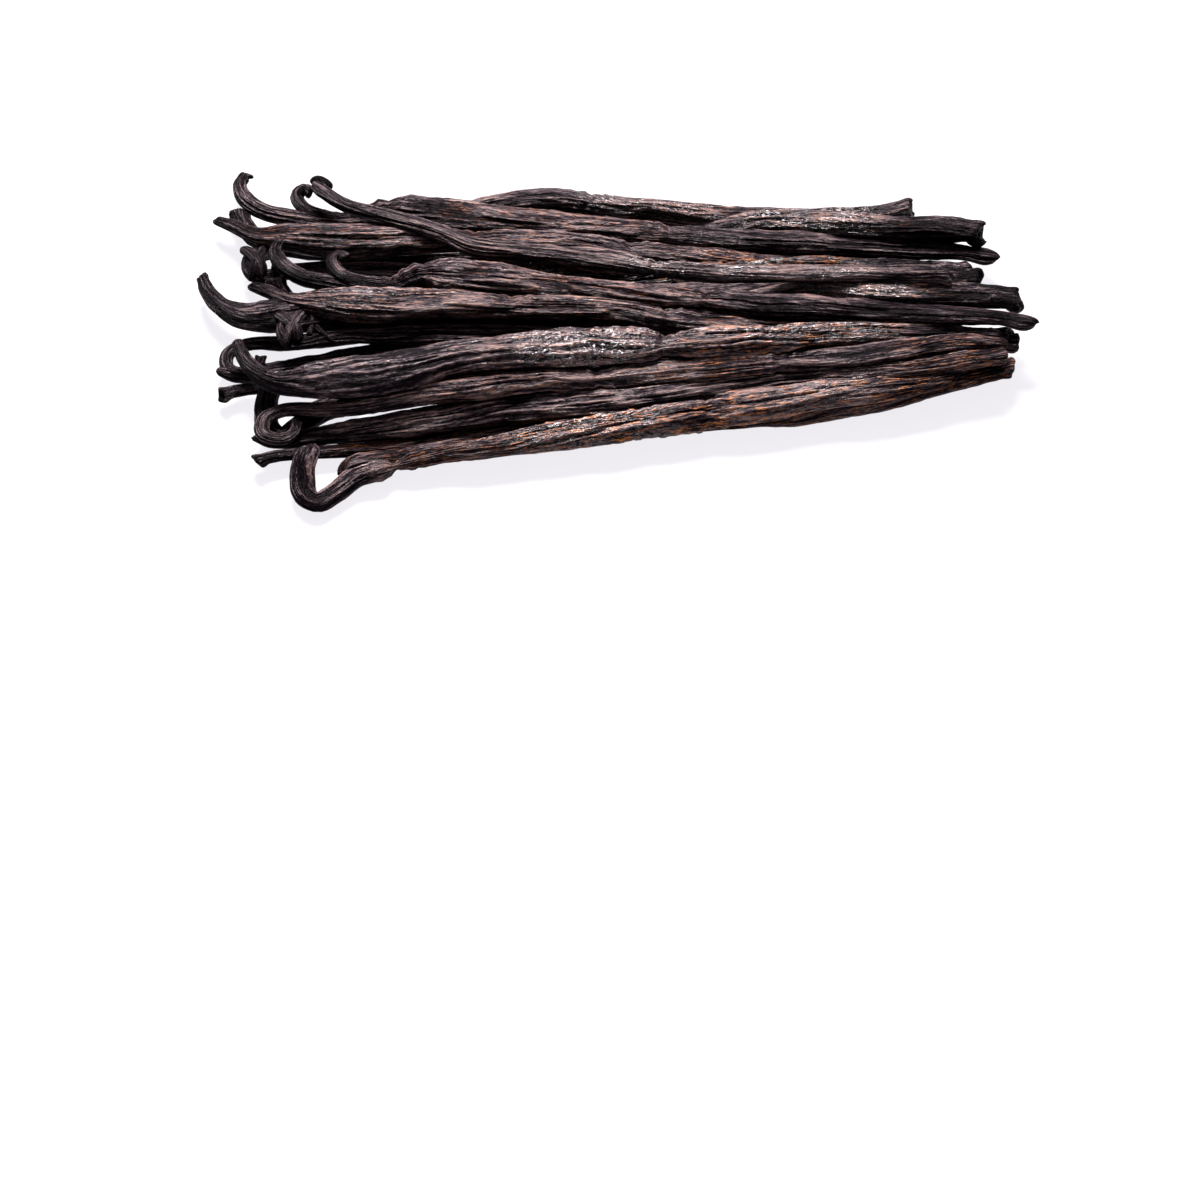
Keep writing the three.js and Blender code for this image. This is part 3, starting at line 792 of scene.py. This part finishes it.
def joined_mesh(name, pods):
    """One Blender mesh from several pods, with their tone and painted light, warmth, oil and grain
    as attributes.
    """
    places, quads, fans = [], [], []
    quad_places, fan_places = [], []
    extras = {"tone_and_painted_light": [], "warm": [], "oil": [], "grain": []}
    first = 0
    for strip, pod in enumerate(pods):
        rings, round_points = pod["tone_and_painted_light"].shape
        on_quads, on_fans = bake_places(pod, strip, len(pods))
        quad_places.append(on_quads)
        fan_places.append(on_fans)
        for key, values in [("skin", places)] + list(extras.items()):
            grid = pod[key]
            depth = grid.shape[2] if grid.ndim == 3 else 1
            tips = [grid[end].reshape(-1, depth).mean(0) for end in (0, -1)]
            values.append(np.vstack([grid.reshape(-1, depth), *tips]))
        pod_quads, pod_fans = grid_faces(rings, round_points, first)
        quads.append(pod_quads)
        fans.append(pod_fans)
        first += rings * round_points + 2
    mesh = faces_mesh(name, np.vstack(places) * MM, np.vstack(quads), np.vstack(fans))
    bake_map = mesh.uv_layers.new(name="OFBake")
    bake_map.uv.foreach_set("vector", np.vstack(quad_places + fan_places).ravel())
    for key, values in extras.items():
        values = np.vstack(values)
        kind = "FLOAT" if values.shape[1] == 1 else "FLOAT_VECTOR"
        attribute = mesh.attributes.new(key, kind, "POINT")
        attribute.data.foreach_set("value" if kind == "FLOAT" else "vector", values.ravel())
    return mesh


def link(name, mesh, material):
    """A new object in the scene, with this mesh and material."""
    piece = bpy.data.objects.new(name, mesh)
    bpy.context.scene.collection.objects.link(piece)
    mesh.materials.append(material)
    return piece


def inner_routes():
    """Routes of the hidden pods, side by side between the pile's front and back edges."""
    rng = seeded("inner")
    routes = []
    for i in range(INNER_PODS):
        share = (i + 0.5) / INNER_PODS
        front = [y + rng.uniform(-INNER_JITTER, INNER_JITTER) for y in INNER_FRONT]
        left = front[0] + (INNER_BACK[0] - front[0]) * share
        right = front[1] + (INNER_BACK[1] - front[1]) * share
        start = INNER_REACH[0] + rng.uniform(0, INNER_SHORTER[0])
        stop = INNER_REACH[1] - rng.uniform(0, INNER_SHORTER[1])
        width = rng.uniform(*INNER_WIDTH)
        lift = INNER_HEIGHT * math.sin(math.pi * share)
        route = []
        for t in np.linspace(0, 1, INNER_POINTS):
            off_middle = 2 * t - 1
            thin = width * (1 - INNER_THINNER * abs(off_middle) ** 3)
            low = thin * FLATNESS / 2 + lift * (1 - off_middle ** 4)
            route.append([start + (stop - start) * t, left + (right - left) * t, low, thin])
        routes.append(route)
    return routes


def mound_mesh():
    """The dark mound under the inner pods, as one closed surface with long ridges."""
    rng = seeded("mound")
    t = np.linspace(MOUND_TIP, math.pi - MOUND_TIP, MOUND_STEPS)
    turn = np.arange(MOUND_ROUND_POINTS) / MOUND_ROUND_POINTS
    lean, turned = np.meshgrid(t, turn, indexing="ij")
    angle = 2 * math.pi * turned
    x = MOUND_CENTRE[0] - np.cos(lean) * MOUND_HALF[0]
    rough = 1 + wander(rng, x, turned, *MOUND_NOISE, MOUND_ROUGHNESS)
    y = MOUND_CENTRE[1] + np.sin(lean) * np.cos(angle) * MOUND_HALF[1] * rough
    z = np.maximum(np.sin(lean) * np.sin(angle) * MOUND_HALF[2] * rough, LOWEST)
    skin = np.stack([x, y, z], axis=-1)
    zero = np.zeros_like(x)
    return {
        "skin": skin,
        "tone_and_painted_light": zero + MOUND_SHADE,
        "warm": zero,
        "oil": zero,
        "grain": skin,
        "reach": t / math.pi,
    }


def placed(pod, row):
    """A pod's route in its row."""
    return back_route(pod) if row == "back" else pod["route"]


def scraps_of(owner, row):
    """The small scraps that belong to a pod of a row, as meshes."""
    made = []
    for name, (whose, rows, route) in SCRAPS.items():
        if whose == owner and rows in (row, "both"):
            scrap = {"route": route, "sink": [PODS[owner].get("sink", [0, 0])[0]] * 2}
            places = placed(scrap, row)
            made.append(
                pod_mesh(name, row, places, ("round", "round"), SCRAP_STEP, SCRAP_ROUND_POINTS)
            )
    return made


def build_pods():
    """All pods as row meshes in mm, before they are moved into the part's frame."""
    made = {}
    for piece, (row, names) in PIECES.items():
        pods = []
        step = BACK_STEP if row == "back" else STEP
        round_points = BACK_ROUND_POINTS if row == "back" else ROUND_POINTS
        for name in names:
            pod = PODS[name]
            pods.append(pod_mesh(name, row, placed(pod, row), pod["ends"], step, round_points))
            pods += scraps_of(name, row)
        made[piece] = pods
    inner = [
        pod_mesh(f"inner{i}", "inner", route, ("round", "round"), INNER_STEP, INNER_ROUND_POINTS)
        for i, route in enumerate(inner_routes())
    ]
    made["pods_inside"] = inner + [mound_mesh()]
    return made


def centre_on_frame(made):
    """Moves the pods so that their box is centred on the solid's in x and y, and returns the shift
    in mm.
    """
    low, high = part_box("vanilla_pods")
    skins = [pod["skin"].reshape(-1, 3) for pods in made.values() for pod in pods]
    lowest = np.min([skin.min(0) for skin in skins], axis=0)
    highest = np.max([skin.max(0) for skin in skins], axis=0)
    shift = (np.array(low) + np.array(high)) / 2 / MM - (lowest + highest) / 2
    shift[2] = 0
    for pods in made.values():
        for pod in pods:
            pod["skin"] = pod["skin"] + shift
    return shift


class Nodes:
    """Short calls for making a material's nodes."""

    def __init__(self, name):
        self.material = bpy.data.materials.new(name)
        self.material.use_nodes = True
        self.tree = self.material.node_tree
        self.shader = self.tree.nodes["Principled BSDF"]

    def plug(self, value, socket):
        if isinstance(value, bpy.types.NodeSocket):
            self.tree.links.new(value, socket)
        else:
            socket.default_value = value

    def attribute(self, name, output="Fac"):
        node = self.tree.nodes.new("ShaderNodeAttribute")
        node.attribute_name = name
        return node.outputs[output]

    def scaled(self, vector, factors):
        node = self.tree.nodes.new("ShaderNodeVectorMath")
        node.operation = "MULTIPLY"
        self.plug(vector, node.inputs[0])
        node.inputs[1].default_value = factors
        return node.outputs[0]

    def noise(self, vector, factors, detail, roughness):
        node = self.tree.nodes.new("ShaderNodeTexNoise")
        self.plug(self.scaled(vector, factors), node.inputs["Vector"])
        node.inputs["Scale"].default_value = 1.0
        node.inputs["Detail"].default_value = detail
        node.inputs["Roughness"].default_value = roughness
        return node.outputs["Fac"]

    def math(self, operation, a, b, c=0.0):
        node = self.tree.nodes.new("ShaderNodeMath")
        node.operation = operation
        self.plug(a, node.inputs[0])
        self.plug(b, node.inputs[1])
        self.plug(c, node.inputs[2])
        return node.outputs[0]

    def remap(self, value, low, high, to_low=0.0, to_high=1.0):
        node = self.tree.nodes.new("ShaderNodeMapRange")
        node.interpolation_type = "SMOOTHSTEP"
        self.plug(value, node.inputs["Value"])
        node.inputs["From Min"].default_value = low
        node.inputs["From Max"].default_value = high
        node.inputs["To Min"].default_value = to_low
        node.inputs["To Max"].default_value = to_high
        return node.outputs["Result"]

    def ramp(self, value, stops):
        node = self.tree.nodes.new("ShaderNodeValToRGB")
        elements = node.color_ramp.elements
        while len(elements) < len(stops):
            elements.new(0.5)
        for element, (position, colour) in zip(elements, stops):
            element.position = position
            element.color = (*colour, 1.0)
        self.plug(value, node.inputs["Fac"])
        return node.outputs["Color"]

    def mix(self, factor, a, b):
        node = self.tree.nodes.new("ShaderNodeMix")
        node.data_type = "RGBA"
        self.plug(factor, node.inputs["Factor"])
        for value, socket in ((a, node.inputs[6]), (b, node.inputs[7])):
            self.plug((*value, 1.0) if isinstance(value, tuple) else value, socket)
        return node.outputs[2]

    def bump(self, height, distance, normal=None):
        node = self.tree.nodes.new("ShaderNodeBump")
        node.inputs["Distance"].default_value = distance
        self.plug(height, node.inputs["Height"])
        if normal is not None:
            self.plug(normal, node.inputs["Normal"])
        return node.outputs["Normal"]


def pod_skin():
    """Cured pod skin: painted near black in the wrinkles as shade, painted mauve brown on the ridges
    as highlights, orange where warm.
    """
    nodes = Nodes("pod_skin")
    grain = nodes.attribute("grain", "Vector")
    fibres = nodes.noise(grain, *FIBRES)
    flecks = nodes.noise(grain, *FLECKS)
    blotches = nodes.noise(grain, *BLOTCHES)
    glints = nodes.noise(grain, *GLINTS)
    # Painted highlights on the ridges and painted shade in the wrinkles, with the grain's fibres,
    # flecks and blotches
    painted_light_and_grain = nodes.math("MULTIPLY_ADD", nodes.attribute("tone_and_painted_light"), SHADE_SHARE, SHADE_START)
    for found, (low, high, share) in zip((fibres, flecks, blotches), RIDGE_SHARES):
        painted_light_and_grain = nodes.math("MULTIPLY_ADD", nodes.remap(found, low, high), share, painted_light_and_grain)
    streaks = nodes.math("MULTIPLY", nodes.remap(fibres, *STREAK_FIBRES), nodes.attribute("warm"))
    streaks = nodes.math("MULTIPLY", streaks, nodes.remap(flecks, *STREAK_FLECKS))
    streaks = nodes.math("MULTIPLY", streaks, STREAK_STRENGTH)
    colour = nodes.mix(streaks, nodes.ramp(painted_light_and_grain, SKIN_AND_PAINTED_RELIEF_COLOURS), STREAK_COLOUR)
    nodes.plug(colour, nodes.shader.inputs["Base Color"])
    patches = nodes.math("MULTIPLY", nodes.attribute("oil"), nodes.remap(blotches, *OIL_BLOTCHES))
    wet = nodes.math("MULTIPLY", patches, nodes.remap(glints, *OIL_GLINTS))
    dry = nodes.remap(flecks, *DRY_ROUGHNESS)
    roughness = nodes.math("MULTIPLY_ADD", wet, WET_ROUGHNESS, dry)
    nodes.plug(roughness, nodes.shader.inputs["Roughness"])
    shine = nodes.math("MULTIPLY_ADD", wet, WET_SHINE, nodes.remap(painted_light_and_grain, *DRY_SHINE))
    nodes.plug(shine, nodes.shader.inputs["Specular IOR Level"])
    normal = nodes.bump(fibres, FIBRE_BUMP)
    normal = nodes.bump(flecks, FLECK_BUMP, normal)
    normal = nodes.bump(nodes.math("MULTIPLY", patches, glints), OIL_BUMP, normal)
    nodes.plug(normal, nodes.shader.inputs["Normal"])
    return nodes.material


def floor_white():
    """A plain pale table top."""
    nodes = Nodes("floor_white")
    for socket, value in (
        ("Base Color", FLOOR_COLOUR),
        ("Roughness", FLOOR_ROUGHNESS),
        ("Specular IOR Level", FLOOR_SHINE),
        ("Emission Color", FLOOR_GLOW_COLOUR),
        ("Emission Strength", FLOOR_GLOW),
    ):
        nodes.plug(value, nodes.shader.inputs[socket])
    return nodes.material


def add_floor():
    """The square table top, under the bundle and far round it."""
    mesh = bpy.data.meshes.new("floor")
    corners = [(-1, -1), (1, -1), (1, 1), (-1, 1)]
    places = [(x * FLOOR_HALF, y * FLOOR_HALF, 0) for x, y in corners]
    mesh.from_pydata(places, [], [(0, 1, 2, 3)])
    floor = link("floor", mesh, floor_white())


def add_light(name, azimuth, elevation, distance, size, power, colour):
    """A soft box that faces the bundle. Azimuth 0 is behind the bundle, and 90 to its right."""
    data = bpy.data.lights.new(name, "AREA")
    data.shape = "RECTANGLE"
    data.size, data.size_y = size
    data.energy = power
    data.color = colour
    light = bpy.data.objects.new(name, data)
    bpy.context.scene.collection.objects.link(light)
    turn = math.radians(azimuth)
    rise = math.radians(elevation)
    level = math.cos(rise)
    towards = Vector((math.sin(turn) * level, math.cos(turn) * level, math.sin(rise)))
    light.location = towards * distance
    light.rotation_mode = "QUATERNION"
    light.rotation_quaternion = towards.to_track_quat("Z", "Y")


def add_world():
    """A pale room that is bright above and behind the bundle, and dark in front of it."""
    world = bpy.data.worlds.new("pale_room")
    world.use_nodes = True
    tree = world.node_tree
    place = tree.nodes.new("ShaderNodeTexCoord")
    lean = tree.nodes.new("ShaderNodeVectorMath")
    lean.operation = "DOT_PRODUCT"
    lean.inputs[1].default_value = BRIGHT_SIDE
    tree.links.new(place.outputs["Generated"], lean.inputs[0])
    level = tree.nodes.new("ShaderNodeMapRange")
    level.interpolation_type = "SMOOTHSTEP"
    for socket, value in zip(("From Min", "From Max", "To Min", "To Max"), ROOM_LEVELS):
        level.inputs[socket].default_value = value
    tree.links.new(lean.outputs["Value"], level.inputs["Value"])
    background = tree.nodes["Background"]
    background.inputs["Color"].default_value = ROOM_COLOUR
    tree.links.new(level.outputs["Result"], background.inputs["Strength"])
    bpy.context.scene.world = world


def add_camera(shift):
    """The photograph's view. shift is where the pods' table has its origin in the frame, in mm."""
    distance = LENS / SENSOR * PHOTO_SIDE * MM_PER_PIXEL
    right = (TABLE_ORIGIN_PIXEL[0] - PHOTO_SIDE / 2) * MM_PER_PIXEL
    up = (PHOTO_SIDE / 2 - TABLE_ORIGIN_PIXEL[1]) * MM_PER_PIXEL
    pitch = math.radians(PODS_SEEN_FROM) + math.atan2(up, distance)
    forward = Vector((0, math.cos(pitch), -math.sin(pitch)))
    upward = Vector((0, math.sin(pitch), math.cos(pitch)))
    data = bpy.data.cameras.new("camera")
    data.lens = LENS
    data.sensor_width = SENSOR
    data.clip_end = SEEN_TO
    camera = bpy.data.objects.new("camera", data)
    bpy.context.scene.collection.objects.link(camera)
    place = Vector(shift) - forward * distance - upward * up - Vector((1, 0, 0)) * right
    camera.location = place * MM
    camera.rotation_mode = "QUATERNION"
    camera.rotation_quaternion = (-forward).to_track_quat("Z", "Y")
    bpy.context.scene.camera = camera


def main():
    """The whole scene."""
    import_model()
    made = build_pods()
    shift = centre_on_frame(made)
    add_camera(shift)
    add_floor()
    add_world()
    for light in LIGHTS:
        add_light(*light)
    bpy.context.scene.view_settings.view_transform = "Standard"
    skin = pod_skin()
    for name, pods in made.items():
        piece = link(name, joined_mesh(name, pods), skin)
        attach(piece, "root")
        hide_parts("vanilla_pods")


main()
